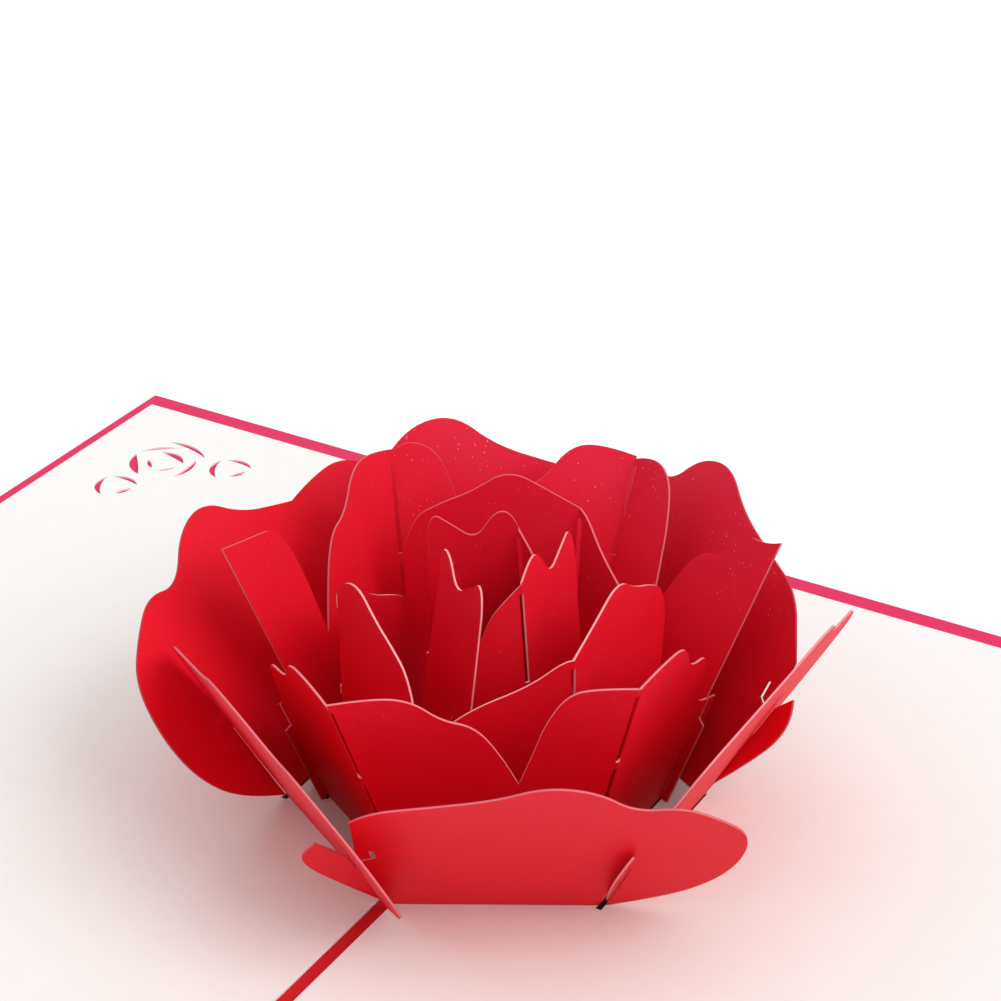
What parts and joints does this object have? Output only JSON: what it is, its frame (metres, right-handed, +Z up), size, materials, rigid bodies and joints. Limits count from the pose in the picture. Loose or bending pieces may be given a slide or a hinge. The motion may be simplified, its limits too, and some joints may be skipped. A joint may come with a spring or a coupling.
{
  "type": "pop up card",
  "caption": "Folded greeting card lying open, with a paper rose of nested slotted petal rings standing up from its spine.",
  "frame": {"origin": "middle of the spine, on the underside of the cover", "axes": "+X across the spine towards the right page, +Y along the spine away from the reader, +Z up out of the open pages"},
  "size_m": [0.3, 0.2, 0.0546],
  "materials": {
    "red_cover_card": "matt dyed card",
    "white_liner_card": "smooth matt white card",
    "red_petal_card": "matt dyed card with a fine sparkle"
  },
  "bodies": {
    "root": {"cover": "red_cover_card", "liner_left": "white_liner_card", "liner_right": "white_liner_card", "outer_petal_front": "red_petal_card", "outer_petal_right_front": "red_petal_card", "outer_petal_right_back": "red_petal_card", "outer_petal_back": "red_petal_card", "outer_petal_left_back": "red_petal_card", "outer_petal_left_front": "red_petal_card", "second_strip_front": "red_petal_card", "second_strip_back": "red_petal_card", "third_petal_right": "red_petal_card", "third_petal_back": "red_petal_card", "third_petal_left": "red_petal_card", "bud_petal_right": "red_petal_card", "bud_petal_back": "red_petal_card", "bud_petal_left": "red_petal_card"}
  },
  "joints": []
}
